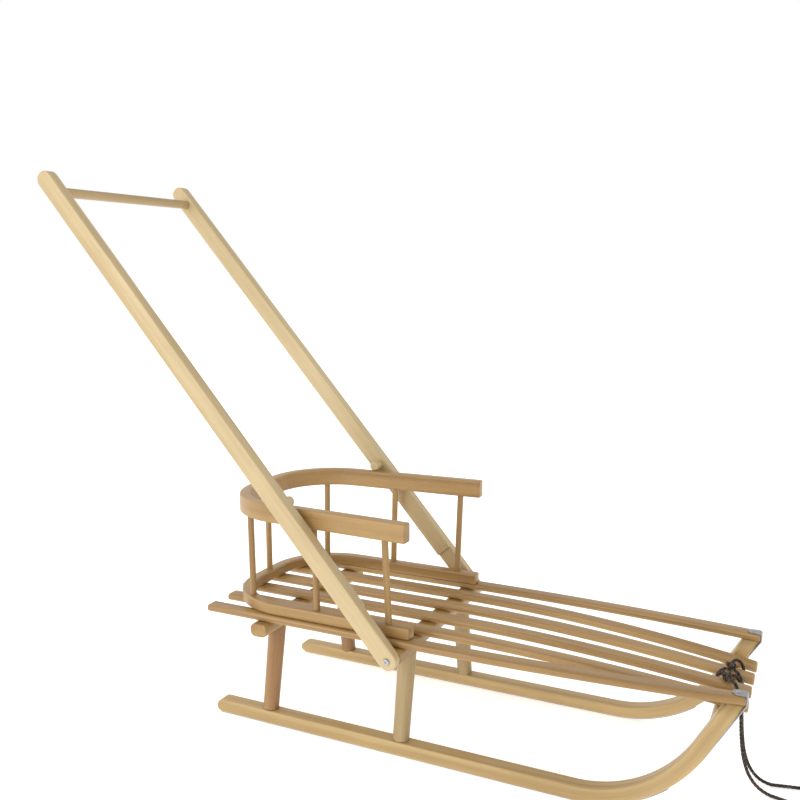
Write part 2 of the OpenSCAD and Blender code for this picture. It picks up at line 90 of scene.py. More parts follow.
# %% sections
def rounded(w, h, r, steps=4):
    """(across, up, edge) round a w by h section; edge is 1 in the middle of a corner."""
    r = max(0.02, min(r, w / 2 - 0.01, h / 2 - 0.01))
    ring = []
    for cx, cy, start in ((1, -1, -90), (1, 1, 0), (-1, 1, 90), (-1, -1, 180)):
        for k in range(steps + 1):
            a = math.radians(start + 90 * k / steps)
            ring.append((cx * (w / 2 - r) + r * math.cos(a), cy * (h / 2 - r) + r * math.sin(a),
                         math.sin(math.pi * k / steps)))
    return ring


def round_section(d, count=32):
    return [(d / 2 * math.cos(2 * math.pi * k / count), d / 2 * math.sin(2 * math.pi * k / count),
             0.0) for k in range(count)]


print("a slat's section has", len(rounded(24, 11, 4.4)), "points, a dowel's", len(round_section(10)))

# %% a skin over rings of points
def skin(name, rings, grains, edges, material, body, nodes):
    """A mesh through rings of points in millimetres, with the wood's own coordinates on it."""
    m = len(rings[0])
    points = [Vector((mid_x, 0, 0)) + Vector(p) * MM for ring in rings for p in ring]
    faces = [(i * m + j, i * m + (j + 1) % m, (i + 1) * m + (j + 1) % m, (i + 1) * m + j)
             for i in range(len(rings) - 1) for j in range(m)]
    faces.append(tuple(range(m - 1, -1, -1)))
    faces.append(tuple((len(rings) - 1) * m + j for j in range(m)))
    mesh = bpy.data.meshes.new(name)
    mesh.from_pydata(points, [], faces)
    volume = sum(points[f[0]].dot(points[f[k]].cross(points[f[k + 1]]))
                 for f in faces for k in range(1, len(f) - 1))
    if volume < 0:
        mesh.flip_normals()
    shift = Vector((random.uniform(0, 40), random.uniform(0, 4), random.uniform(0, 4)))
    grain = mesh.attributes.new("grain", "FLOAT_VECTOR", "POINT")
    grain.data.foreach_set("vector", [c for g in grains for v in g
                                      for c in (Vector(v) * MM + shift)])
    edge = mesh.attributes.new("edge", "FLOAT", "POINT")
    edge.data.foreach_set("value", [e for row in edges for e in row])
    tone = mesh.attributes.new("tone", "FLOAT", "POINT")
    tone.data.foreach_set("value", [random.random()] * len(points))
    mesh.shade_smooth()
    mesh.materials.append(material)
    piece = bpy.data.objects.new(name, mesh)
    bpy.context.scene.collection.objects.link(piece)
    piece.modifiers.new("normals", "WEIGHTED_NORMAL").keep_sharp = True
    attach(piece, body)
    if nodes:
        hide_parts(*nodes)
    return piece


# %% stations, blanks and dowels
ARRIS_ANGLES = (8, 35, 62, 90)   # where the stations of a rounded end lie on its quarter circle


def ease(first, last, between, w, h, r, soft):
    """Stations from first to last, with the arrises of both ends rounded over by soft."""
    start = [(first + soft * (1 - math.cos(math.radians(a))), soft * (1 - math.sin(math.radians(a))))
             for a in ARRIS_ANGLES]
    end = [(last - (s - first), d) for s, d in reversed(start)]
    middle = [(s, 0.0) for s in between if start[-1][0] + 0.01 < s < end[0][0] - 0.01]
    return [(s, w - 2 * d, h - 2 * d, max(r - d, 0.3)) for s, d in start + middle + end]


def blank(name, stations, place, material, node, body="sledge", shape=rounded):
    rings, grains, edges = [], [], []
    for s, w, h, r in stations:
        ring = shape(w, h, r)
        rings.append([place(s, a, b) for a, b, _ in ring])
        grains.append([(s, a, b) for a, b, _ in ring])
        edges.append([e for _, _, e in ring])
    return skin(name, rings, grains, edges, material, body, [node])


def dowel(name, start, end, d1, d2, material, node, body="sledge", soft=0.8):
    """A turned or drawn round stick from start to end, d1 to d2 thick."""
    start, end = Vector(start), Vector(end)
    length = (end - start).length
    along = (end - start) / length
    side = along.cross(Vector((1, 0, 0)) if abs(along.x) < 0.9 else Vector((0, 0, 1))).normalized()
    up = along.cross(side)
    stations = []
    wide = 20                    # ease() only has to say how much narrower each station is
    for s, w, _, _ in ease(0, length, [length * k / 8 for k in range(1, 8)], wide, wide, 1, soft):
        stations.append((s, d1 + (d2 - d1) * s / length - (wide - w), 0, 0))
    return blank(name, stations, lambda s, a, b: start + along * s + side * a + up * b,
                 material, node, body, lambda w, h, r: round_section(w))


print("an eased end has", len(ARRIS_ANGLES), "stations")

# %% [markdown]
# ## Materials
# Beech shows short dark flecks along the grain, while ash and birch have few and show their growth
# bands instead.  All are under a thin satin lacquer that is worn a little lighter on the arrises.
# Such a surface could be painted on an unwrapped texture, but noise stretched along the grain
# attribute needs no unwrapping and follows the bends.  Each piece has its own place in the noise,
# so no two sticks look alike.

# %% shader helpers
def node_of(tree, kind, at, **settings):
    n = tree.nodes.new(kind)
    n.location = at
    for key, value in settings.items():
        setattr(n, key, value)
    return n


def link(tree, a, b):
    tree.links.new(a, b)


def stretched_noise(tree, vector, scale, detail, rough, at):
    """Noise whose lumps are stretched along the grain."""
    mapping = node_of(tree, "ShaderNodeMapping", at)
    mapping.inputs["Scale"].default_value = scale
    noise = node_of(tree, "ShaderNodeTexNoise", (at[0] + 180, at[1]))
    noise.inputs["Scale"].default_value = 1
    noise.inputs["Detail"].default_value = detail
    noise.inputs["Roughness"].default_value = rough
    link(tree, vector, mapping.inputs["Vector"])
    link(tree, mapping.outputs["Vector"], noise.inputs["Vector"])
    return noise.outputs["Fac"]


def ramp(tree, value, stops, at):
    n = node_of(tree, "ShaderNodeValToRGB", at)
    while len(n.color_ramp.elements) < len(stops):
        n.color_ramp.elements.new(0.5)
    for element, (position, colour) in zip(n.color_ramp.elements, stops):
        element.position = position
        element.color = (*colour, 1)
    link(tree, value, n.inputs["Fac"])
    return n.outputs["Color"]


def mix(tree, kind, factor, a, b, at):
    n = node_of(tree, "ShaderNodeMix", at, data_type="RGBA", blend_type=kind)
    for socket, value in ((n.inputs[0], factor), (n.inputs[6], a), (n.inputs[7], b)):
        if isinstance(value, (int, float)):
            socket.default_value = value
        elif isinstance(value, tuple):
            socket.default_value = (*value, 1)
        else:
            link(tree, value, socket)
    return n.outputs[2]


def level(tree, value, low, high, at):
    n = node_of(tree, "ShaderNodeMapRange", at)
    n.inputs["To Min"].default_value = low
    n.inputs["To Max"].default_value = high
    link(tree, value, n.inputs["Value"])
    return n.outputs["Result"]


# %% more shader helpers
def surface(name):
    material = bpy.data.materials.new(name)
    material.use_nodes = True
    tree = material.node_tree
    shader = tree.nodes["Principled BSDF"]
    attribute = node_of(tree, "ShaderNodeAttribute", (-1500, 0), attribute_name="grain")
    return material, tree, shader, attribute.outputs["Vector"]


def attribute_of(tree, name, at):
    return node_of(tree, "ShaderNodeAttribute", at, attribute_name=name).outputs["Fac"]


def bump(tree, shader, height, strength, distance, at):
    n = node_of(tree, "ShaderNodeBump", at)
    n.inputs["Strength"].default_value = strength
    n.inputs["Distance"].default_value = distance
    link(tree, height, n.inputs["Height"])
    link(tree, n.outputs["Normal"], shader.inputs["Normal"])


print("the helpers make nodes, noise, ramps, mixes and bumps")

# %% wood
def wood(name, light, dark, band=0.5, fleck=0.45, rough=0.42):
    material, tree, shader, grain = surface(name)
    bands = stretched_noise(tree, grain, (2.2, 95, 55), 3, 0.55, (-1300, 400))
    fibres = stretched_noise(tree, grain, (22, 1500, 1500), 3, 0.6, (-1300, 150))
    clouds = stretched_noise(tree, grain, (4, 14, 14), 2, 0.5, (-1300, -100))
    flecks = stretched_noise(tree, grain, (210, 1900, 1900), 1, 0.5, (-1300, -350))
    colour = ramp(tree, bands, ((0.36, dark), (0.62, light)), (-900, 400))
    colour = mix(tree, "MIX", 1 - band, colour, light, (-650, 400))
    fine = ramp(tree, fibres, ((0.3, (0.86, 0.84, 0.80)), (0.65, (1.04, 1.04, 1.04))), (-900, 150))
    colour = mix(tree, "MULTIPLY", 0.8, colour, fine, (-450, 400))
    cloud = ramp(tree, clouds, ((0.3, (0.90, 0.88, 0.84)), (0.7, (1.05, 1.05, 1.05))), (-900, -100))
    colour = mix(tree, "MULTIPLY", 0.9, colour, cloud, (-250, 400))
    dash = ramp(tree, flecks, ((0.62, (1, 1, 1)), (0.70, (0.62, 0.50, 0.38))), (-900, -350))
    colour = mix(tree, "MULTIPLY", fleck, colour, dash, (-50, 400))
    tone = ramp(tree, attribute_of(tree, "tone", (-1100, -800)),
                ((0, (0.93, 0.91, 0.88)), (1, (1.03, 1.03, 1.04))), (-900, -800))
    colour = mix(tree, "MULTIPLY", 1.0, colour, tone, (150, 400))
    worn = node_of(tree, "ShaderNodeMath", (-650, -600), operation="MULTIPLY")
    link(tree, attribute_of(tree, "edge", (-1100, -600)), worn.inputs[0])
    link(tree, ramp(tree, clouds, ((0.42, (0, 0, 0)), (0.66, (0.5, 0.5, 0.5))), (-900, -600)),
         worn.inputs[1])
    pale = tuple(min(1.0, c * 1.12 + 0.03) for c in light)
    colour = mix(tree, "MIX", worn.outputs[0], colour, pale, (350, 400))
    link(tree, colour, shader.inputs["Base Color"])
    link(tree, level(tree, fibres, rough - 0.08, rough + 0.14, (150, 100)),
         shader.inputs["Roughness"])
    shader.inputs["Coat Weight"].default_value = 0.25
    shader.inputs["Coat Roughness"].default_value = 0.28
    bump(tree, shader, fibres, 0.25, 0.0002, (150, -200))
    return material


BEECH = wood("beech", (0.42, 0.262, 0.094), (0.29, 0.162, 0.050), band=0.8, fleck=0.6)
LEG = wood("leg_beech", (0.36, 0.198, 0.072), (0.25, 0.124, 0.040), band=0.75)
ASH = wood("ash", (0.55, 0.400, 0.180), (0.40, 0.265, 0.105), band=0.8, fleck=0.15)
PALE_LEG = wood("pale_leg", (0.44, 0.330, 0.165), (0.34, 0.238, 0.108), band=0.7, fleck=0.2)
BIRCH = wood("birch", (0.62, 0.500, 0.290), (0.51, 0.385, 0.200), band=0.65, fleck=0.2)
DOWEL = wood("dowel_beech", (0.43, 0.310, 0.150), (0.33, 0.22, 0.098), band=0.6, fleck=0.5)
print("woods:", ", ".join(m.name for m in (BEECH, LEG, PALE_LEG, ASH, BIRCH, DOWEL)))

# %% [markdown]
# Steel strip has fine lines along its rolling direction and duller patches where it was handled.
# The zinc of bolts and screws has no direction.  Both are one shader with different noise.

# %% steel and zinc
def metal(name, colour, rough, lines):
    material, tree, shader, grain = surface(name)
    drawn = stretched_noise(tree, grain, lines, 4, 0.6, (-1300, 200))
    blotch = stretched_noise(tree, grain, (60, 60, 60), 3, 0.6, (-1300, -100))
    dull = tuple(c * 0.78 for c in colour)
    base = ramp(tree, blotch, ((0.35, dull), (0.6, colour)), (-900, -100))
    link(tree, base, shader.inputs["Base Color"])
    shader.inputs["Metallic"].default_value = 1.0
    link(tree, level(tree, drawn, rough - 0.1, rough + 0.16, (-500, 100)),
         shader.inputs["Roughness"])
    bump(tree, shader, drawn, 0.3, 0.00008, (-500, -200))
    return material


STEEL = metal("rolled_steel", (0.40, 0.40, 0.42), 0.38, (30, 2600, 2600))
ZINC = metal("zinc_plate", (0.52, 0.53, 0.56), 0.30, (400, 400, 400))
print("metals:", STEEL.name, ZINC.name)

# %% [markdown]
# The rope is dark yarn with a few brown fibres.  Its twist is modelled, so the shader only
# has to add fibres and a little fuzz, which is what sheen is for.

# %% rope yarn
def yarn():
    material, tree, shader, grain = surface("rope_yarn")
    fibres = stretched_noise(tree, grain, (500, 2600, 2600), 3, 0.7, (-1300, 200))
    stray = stretched_noise(tree, grain, (330, 700, 700), 1, 0.5, (-1300, -100))
    dark = ramp(tree, fibres, ((0.3, (0.005, 0.005, 0.005)), (0.7, (0.026, 0.022, 0.020))),
                (-900, 200))
    brown = ramp(tree, stray, ((0.57, (0, 0, 0)), (0.64, (1, 1, 1))), (-900, -100))
    colour = mix(tree, "MIX", brown, dark, (0.20, 0.125, 0.090), (-500, 200))
    link(tree, colour, shader.inputs["Base Color"])
    shader.inputs["Roughness"].default_value = 0.85
    shader.inputs["Sheen Weight"].default_value = 0.12
    shader.inputs["Sheen Roughness"].default_value = 0.5
    bump(tree, shader, fibres, 0.6, 0.0004, (-500, -200))
    return material


ROPE = yarn()
print("rope:", ROPE.name)

# %% [markdown]
# ## Pull rope
# The rope is one length of three-strand cord, about 5 mm thick and 1.6 m long.  Each end goes
# round the front crossbar in a loop and is stopped by a knot on an inner slat.  What isn't used
# is stored: it drops between the slats to the floor and lies in a small tied coil in front.  A
# curve with a round bevel would be quicker but smooth, so a three-lobed section is turned along
# the line instead, which gives real strands.

# %% rope tools
ROPE_D = 5.0


def through(points, step):
    """A smooth line through points, with a point about every step millimetres."""
    points = [Vector(p) for p in points]
    ends = [2 * points[0] - points[1], *points, 2 * points[-1] - points[-2]]
    line = []
    for a, b, c, d in zip(ends, ends[1:], ends[2:], ends[3:]):
        count = max(2, round((c - b).length / step))
        for k in range(count):
            t = k / count
            line.append(0.5 * ((2 * b) + (c - a) * t + (2 * a - 5 * b + 4 * c - d) * t * t
                               + (3 * b - a - 3 * c + d) * t ** 3))
    return line + [points[-1]]


def length_of(line):
    return sum((b - a).length for a, b in zip(line, line[1:]))


def twisted(name, line, nodes, d=ROPE_D, lay=17.0, count=18):
    """Three strands twisted to the right round a line; lay is the length of one full twist."""
    up = Vector((0, 0, 1))
    if abs((line[1] - line[0]).normalized().z) > 0.9:
        up = Vector((0, 1, 0))
    rings, grains, edges, s = [], [], [], 0.0
    for i, p in enumerate(line):
        ahead = (line[min(i + 1, len(line) - 1)] - line[max(i - 1, 0)]).normalized()
        up = (up - ahead * up.dot(ahead)).normalized()
        side = ahead.cross(up)
        if i:
            s += (p - line[i - 1]).length
        turn = 2 * math.pi * s / lay
        end = min(1.0, 0.45 + 0.55 * min(i, len(line) - 1 - i) / 2)
        ring, grain = [], []
        for k in range(count):
            a = 2 * math.pi * k / count
            lobe = abs(math.cos(1.5 * a))
            r = d / 2 * (0.80 + 0.20 * lobe ** 0.8) * end
            ring.append(p + r * (math.cos(a + turn) * up + math.sin(a + turn) * side))
            grain.append((s, r * math.cos(a) + 0.35 * s, r * math.sin(a) + 0.35 * s))
        rings.append(ring)
        grains.append(grain)
        edges.append([0.0] * count)
    return skin(name, rings, grains, edges, ROPE, "sledge", nodes)


print("rope tools ready for a cord", ROPE_D, "mm thick")

# %% rope route
COIL_X, COIL_R = 625.0, 25.5      # centre of the coil ahead of the middle crossbar, mean radius
LOW, HIGH = 3.5, 8.5              # heights of the two layers of turns
TURNS, TURN_POINTS = 3.5, 56
RISE = (1.85, 2.15)               # the rope climbs to the upper layer between these turns


def lead(z_end):
    return [(451, 11, 164), (457, 7, 162), (461.5, 5.5, 155), (463.5, 5.5, 145), (465, 5.5, 125),
            (466, 6, 100), (468, 7, 72), (472, 8, 46), (480, 10, 24), (493, 12, 9), (510, 15, 2.5),
            (532, 20, 2.5), (556, 25, 2.5), (580, 28.5, 2.25 + 0.12 * z_end),
            (602, COIL_R + ROPE_D, 0.3 + 0.85 * z_end)]


def turns():
    """Two turns winding inward on the floor, then one and a half winding outward on top."""
    line = []
    for k in range(TURN_POINTS + 1):
        t = TURNS * k / TURN_POINTS
        if t < RISE[0]:
            r, z = COIL_R + ROPE_D * (1 - t), LOW
        elif t < RISE[1]:
            r = COIL_R - ROPE_D * 0.85 - 0.15 * ROPE_D * min(1, (t - RISE[0]) / 0.15)
            z = LOW + (HIGH - LOW) * (0.5 - 0.5 * math.cos(math.pi * (t - RISE[0]) / 0.3))
        else:
            r, z = COIL_R - ROPE_D + 2 * ROPE_D * (t - RISE[1]) / 1.35, HIGH
        a = math.pi / 2 - 2 * math.pi * t
        line.append((COIL_X + r * math.cos(a), r * math.sin(a), z))
    return line


route = lead(LOW) + turns() + [(x, -y, z) for x, y, z in reversed(lead(HIGH))]
rope_line = [Vector((p.x, p.y, max(p.z, ROPE_D / 2))) for p in through(route, 1.4)]
rope = twisted("pull_rope", rope_line, ["right_rope_lead", "left_rope_lead", "rope_coil"])
print("free rope", round(length_of(rope_line)), "mm")

# %% [markdown]
# A loop's points are listed round the crossbar.  A knot can be a trefoil curve, which has
# the over and under passes of a real overhand knot.  The tie is a thin cord wound three times
# round the coil, on a squared circle that lies close to it.

# %% rope loops and knots
bar_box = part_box("front_crossbar")
FRONT_X = ((bar_box[0].x + bar_box[1].x) / 2 - mid_x) / MM
FRONT_Z = (bar_box[0].z + bar_box[1].z) / 2 / MM
LOOP = [(1, 29.5, 28), (6, 35, 31), (12, 38, 28), (16, 39.5, 20), (17, 39.5, 9), (15, 38, -5),
        (9, 34, -12.5), (0, 26, -15), (-9, 16, -12.5), (-15, 8, -5), (-16, 5, 9), (-14, 4, 20),
        (-8, 5, 27), (-3, 8.5, 28)]
knot_low, knot_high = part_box("rope_knots")
KNOT_X = ((knot_low.x + knot_high.x) / 2 - mid_x) / MM
KNOT_Z = (knot_low.z + knot_high.z) / 2 / MM
for side, word in ((-1, "right"), (1, "left")):
    loop = [(FRONT_X + x, side * y, FRONT_Z + z) for x, y, z in LOOP]
    twisted(f"{word}_loop", through(loop, 1.4), [f"{word}_rope_loop"])
    knot = []
    for k in range(60):
        t = 2 * math.pi * k / 60 + 0.6
        knot.append((KNOT_X + 1.9 * (math.sin(t) + 2 * math.sin(2 * t)) * 0.95,
                     side * (19 + 2.2 * (math.cos(t) - 2 * math.cos(2 * t)) * 0.92),
                     KNOT_Z + 3.1 * -math.sin(3 * t)))
    twisted(f"{word}_knot", through(knot, 1.2), ["rope_knots"], d=4.8)

# %% the coil's tie
tie = []
tie_low, tie_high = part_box("coil_tie")
tx = ((tie_low.x + tie_high.x) / 2 - mid_x) / MM
tw, th = (tie_high.x - tie_low.x) / 2 / MM - 1.0, (tie_high.z - tie_low.z) / 2 / MM - 1.0
TIE_POINTS, TIE_WINDS = 150, 3
for k in range(TIE_POINTS):
    a = 2 * math.pi * TIE_WINDS * k / (TIE_POINTS - 1)
    c, s = math.cos(a), math.sin(a)
    tie.append(Vector((tx + tw * math.copysign(abs(c) ** 0.55, c),
                       -2.6 + 5.2 * k / (TIE_POINTS - 1),
                       1.0 + th + th * math.copysign(abs(s) ** 0.55, s))))
twisted("tie", tie, ["coil_tie"], d=1.9, lay=8, count=12)
print("the tie is", round(length_of(tie)), "mm of thin cord")

# %% [markdown]
# ## Runners
# Each runner is one ash stick, steamed and bent up at the front on a 200 mm radius until it stands
# at 60 degrees, then cut level under the outer slat.  It leans inward as it rises, so the two
# horns meet the narrower front of the seat while the soles stay flat on the snow.  A curve object
# would bend it too, but not cut it level or lean it, so one function places every point.

# %% runner curve
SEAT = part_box("slat_1")[1].z / MM
SLAT_T, SLAT_W, TIP = 11.0, 24.0, 479.0
PITCH, TIP_PITCH = 55.6, 44.8     # between slat centres, at the rear and at the tips
SHOE_T, RUN_H, RUN_W, BEND_R, HORN = 2.0, 20.0, 24.0, 200.0, 60.0
RUN_Y, TAIL = 131, 10             # half the track, and how far back the tail starts to round
RUN_REAR = (mid_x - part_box("right_runner")[0].x) / MM
HORN_TOP = SEAT - SLAT_T
horn_run = (HORN_TOP - SHOE_T - BEND_R * (1 - math.cos(math.radians(HORN)))) \
    / math.tan(math.radians(HORN))
BEND_X = TIP - 1 - BEND_R * math.sin(math.radians(HORN)) - horn_run
BEND_END = BEND_X + BEND_R * math.radians(HORN)
LEAN = (RUN_Y - 2.5 * TIP_PITCH) / (HORN_TOP - RUN_H / 2)
HORN_LEN = 83.0


def lean_y(z):
    return RUN_Y - LEAN * (z - RUN_H / 2)


def sole(s, u):
    """Side view of the runner: s along the sole line, u above it."""
    if s <= BEND_X:
        return s, u
    a = min((s - BEND_X) / BEND_R, math.radians(HORN))
    x, z = BEND_X + (BEND_R - u) * math.sin(a), BEND_R - (BEND_R - u) * math.cos(a)
    if s > BEND_END:
        t = (HORN_TOP - SHOE_T - z) / math.sin(math.radians(HORN)) * (s - BEND_END) / HORN_LEN
        x, z = x + t * math.cos(math.radians(HORN)), z + t * math.sin(math.radians(HORN))
    return x, z


def runner_place(side):
    def place(s, a, b):
        x, z = sole(s, RUN_H / 2 + b)
        return x, side * (lean_y(z + SHOE_T) + a), z + SHOE_T
    return place


def runner_stations():
    rows = []
    for a in (8, 20, 38, 60, 90):
        k = math.sin(math.radians(a))
        rows.append((TAIL * (1 - math.cos(math.radians(a))) - RUN_REAR, RUN_W - 1.2 * (1 - k) * 2,
                     RUN_H * k, 3 * k))
    rows += [(s, RUN_W, RUN_H, 3) for s in range(-300, int(BEND_X), 75)]
    rows += [(BEND_X + (BEND_END - BEND_X) * k / 28, RUN_W, RUN_H, 3) for k in range(29)]
    return rows + [(BEND_END + HORN_LEN * k, RUN_W, RUN_H, 3) for k in (0.33, 0.66, 1)]


for side, word in ((-1, "right"), (1, "left")):
    blank(f"{word}_ski", runner_stations(), runner_place(side), ASH, f"{word}_runner")
print("runners bend up from", round(BEND_X), "mm ahead of the middle crossbar")

# %% [markdown]
# ## Steel shoes
# A 16 by 2 mm strip protects each sole.  It is bent with the runner, runs up the front of the horn
# and folds back over the tip of the outer slat, where one screw holds it, so the strip also ties
# slat and runner together.  Its end is rounded so that it can't catch mittens.  A solidify
# modifier on a strip would thicken it, but its inner and outer lines differ at the fold, so both
# are given.

# %% shoes
SHOE_HALF, PLATE = 8.0, 18.0
FOLD_IN, FOLD_R = 1.5, 3.5        # inner and outer radius of the fold over the slat
ON_HORN = 400                     # the strip is on the horn further along than this


def shoe_lines():
    """(s, inner point, outer point) along the strip, in side view."""
    rows = []
    for s in [6 - RUN_REAR, 10 - RUN_REAR] + list(range(-300, int(BEND_X), 75)) + \
            [BEND_X + (BEND_END - BEND_X) * k / 28 for k in range(29)]:
        rows.append((s, sole(s, 0), sole(s, -SHOE_T)))
    s = rows[-1][0]
    x, z = TIP, HORN_TOP - SHOE_T
    rows.append((s + 84, (x, z), (x + SHOE_T, z - SHOE_T * math.tan(math.radians(15)))))
    rows.append((s + 92, (x, SEAT - SHOE_T - 1.6), (x + SHOE_T, SEAT - SHOE_T - 1.6)))
    for k in range(7):
        a = math.radians(15 * k)
        fold_x, fold_z = x - FOLD_IN, SEAT - SHOE_T - FOLD_IN
        rows.append((s + 93 + k, (fold_x + FOLD_IN * math.cos(a), fold_z + FOLD_IN * math.sin(a)),
                     (fold_x + FOLD_R * math.cos(a), fold_z + FOLD_R * math.sin(a))))
    end = TIP - PLATE
    for k in range(8):
        round_x = end + SHOE_HALF - SHOE_HALF * math.sin(math.radians(90 * k / 7))
        rows.append((s + 105 + k * 2, (round_x, SEAT - SHOE_T), (round_x, SEAT)))
    return rows


def shoe(side, word):
    rings, grains, edges = [], [], []
    for s, inner, outer in shoe_lines():
        past = max(0.0, (TIP - PLATE + SHOE_HALF) - inner[0]) if s > ON_HORN else 0.0
        half = math.sqrt(max(0.0, SHOE_HALF ** 2 - past * past)) if past else SHOE_HALF
        ring, grain = [], []
        section = rounded(max(2 * half, 1.0), SHOE_T, 0.5, 3)
        for a, b, _ in section:
            t = (SHOE_T / 2 - b) / SHOE_T
            x = inner[0] + (outer[0] - inner[0]) * t
            z = inner[1] + (outer[1] - inner[1]) * t + SHOE_T
            ring.append((x, side * (lean_y(z) + a), z))
            grain.append((s, a, b))
        rings.append(ring)
        grains.append(grain)
        edges.append([e for _, _, e in section])
    skin(f"{word}_strip", rings, grains, edges, STEEL, "sledge", [f"{word}_shoe"])


shoe(-1, "right")
shoe(1, "left")
print("each strip lies", PLATE, "mm over its slat")

# %% [markdown]
# ## Crossbars and legs
# Two stout crossbars with well rounded arrises carry the seat.  Turned legs taper to the foot and
# splay outward to the runners, which makes the sledge hard to tip.  The rear pair is darker wood
# than the middle pair.  The front crossbar is a plain round stick under the dropped ends of the
# inner slats.  A cylinder primitive would do for a leg, but the blank gives it grain and a taper.

# %% crossbars
CROSS_W, CROSS_H, CROSS_R = 29, 21, 8
BAR_MID = SEAT - SLAT_T - CROSS_H / 2
REAR_X = -232.0
half_bar = (bar_high_corner.y - bar_low_corner.y) / 2 / MM
for node, x in (("rear_crossbar", REAR_X), ("middle_crossbar", 0.0)):
    blank(node.replace("crossbar", "beam"),
          ease(-half_bar, half_bar, range(-120, 121, 60), CROSS_W, CROSS_H, CROSS_R, 1.6),
          lambda s, a, b, x=x: (x + a, s, BAR_MID + b), BEECH, node)
FRONT_D = 22
shoulder = lean_y(FRONT_Z + FRONT_D / 2) - RUN_W / 2 + 1.5   # just inside the leaning runner
dowel("front_beam", (FRONT_X, -shoulder, FRONT_Z), (FRONT_X, shoulder, FRONT_Z), FRONT_D,
      FRONT_D, ASH, "front_crossbar")
print("crossbars are", round(2 * half_bar), "and", round(2 * shoulder), "mm long")

# %% legs
LEG_TOP_D, LEG_FOOT_D, LEG_TOP_Y = 28, 25, 107
foot_z = SHOE_T + RUN_H
foot_y, bar_low = lean_y(foot_z), BAR_MID - CROSS_H / 2
for fore, x, wood_of_leg in (("rear", REAR_X, LEG), ("middle", 0.0, PALE_LEG)):
    for side, word in ((-1, "right"), (1, "left")):
        def leg_at(z):
            splay = (foot_y - LEG_TOP_Y) * (bar_low - z) / (bar_low - foot_z)
            return x, side * (LEG_TOP_Y + splay), z
        dowel(f"{fore}_{word}_post", leg_at(foot_z - 0.3), leg_at(bar_low + 7), LEG_FOOT_D,
              LEG_TOP_D, wood_of_leg, f"{fore}_{word}_leg", soft=0.6)
print("legs splay", round(foot_y - LEG_TOP_Y), "mm outward")

# %% [markdown]
# ## Seat slats
# Six slats, 24 by 11 mm, draw together toward the front.  The outer two stay level and end on the
# horns; the inner four are sprung down onto the round front crossbar, which keeps them tight and
# gives the seat its shape.  A lattice could bend them, but a parabola says exactly how a thin
# slat springs, and the same function later places the nails.

# %% slats
FRONT_BAR_X, DROP, DROP_X = 446.0, 30.0, 20.0


def drawn_in(x):
    return (max(0.0, x - DROP_X) / (TIP - DROP_X)) ** 2


def slat_y(k, x):
    return k * (PITCH - (PITCH - TIP_PITCH) * drawn_in(x))


def slat_z(k, x):
    return SEAT - (0 if abs(k) > 2 else DROP * drawn_in(x))


for i, k in enumerate((-2.5, -1.5, -0.5, 0.5, 1.5, 2.5), start=1):
    rear = -338.0 - (10 if abs(k) < 1 else 0)
    between = [-250, -150, -50, DROP_X] + [DROP_X + 15 * n for n in range(1, 31)]
    blank(f"seat_slat_{i}", ease(rear, TIP, between, SLAT_W, SLAT_T, 4.4, 2.6),
          lambda s, a, b, k=k: (s, slat_y(k, s) + a, slat_z(k, s) - SLAT_T / 2 + b),
          BEECH, f"slat_{i}")
print("slat centres lie", PITCH, "mm apart behind and", TIP_PITCH, "mm at the tips")

# %% [markdown]
# ## Back rest
# Two hoops, bent from one stick each, follow the seat's rear corners.  The lower one is screwed
# to the slats from below; the upper one is the arm rest, carried on seven drawn spindles that
# lean out slightly because the upper hoop is wider.  A hoop is a blank again, and its place
# function is straight along the arm, round at the corner and straight across the back.

# %% hoops
def hoop(half, taper, thick, rear, front, radius):
    """Plan of a bent rail: place(s, a) gives a point at s along the centre line."""
    taper = math.radians(taper)
    r = radius - thick / 2
    cx = radius - rear
    top = half - (front - cx) * math.tan(taper)
    cy = top - radius / math.cos(taper)
    arm = Vector((-math.cos(taper), -math.sin(taper)))      # from the front end toward the bend
    out = Vector((-math.sin(taper), math.cos(taper)))
    bend_start = Vector((cx, cy)) + out * r
    front_point = bend_start + arm * ((front - bend_start.x) / arm.x)
    arm_len = (bend_start - front_point).length
    bend_len = r * (math.pi / 2 - taper)
    total = 2 * (arm_len + bend_len + cy)

    def left_half(s, a):
        if s < arm_len:
            return front_point + arm * s + out * a
        if s < arm_len + bend_len:
            t = math.pi / 2 + taper + (s - arm_len) / r
            return Vector((cx + (r + a) * math.cos(t), cy + (r + a) * math.sin(t)))
        return Vector((cx - r - a, cy - (s - arm_len - bend_len)))

    def place(s, a):
        if s <= total / 2:
            return left_half(s, a)
        p = left_half(total - s, a)
        return Vector((p.x, -p.y))
    stations = [arm_len * k / 4 for k in range(1, 4)]
    stations += [arm_len + bend_len * k / 20 for k in range(21)] + [total / 2]
    stations += [total - s for s in reversed(stations[:-1])]
    return place, total, stations


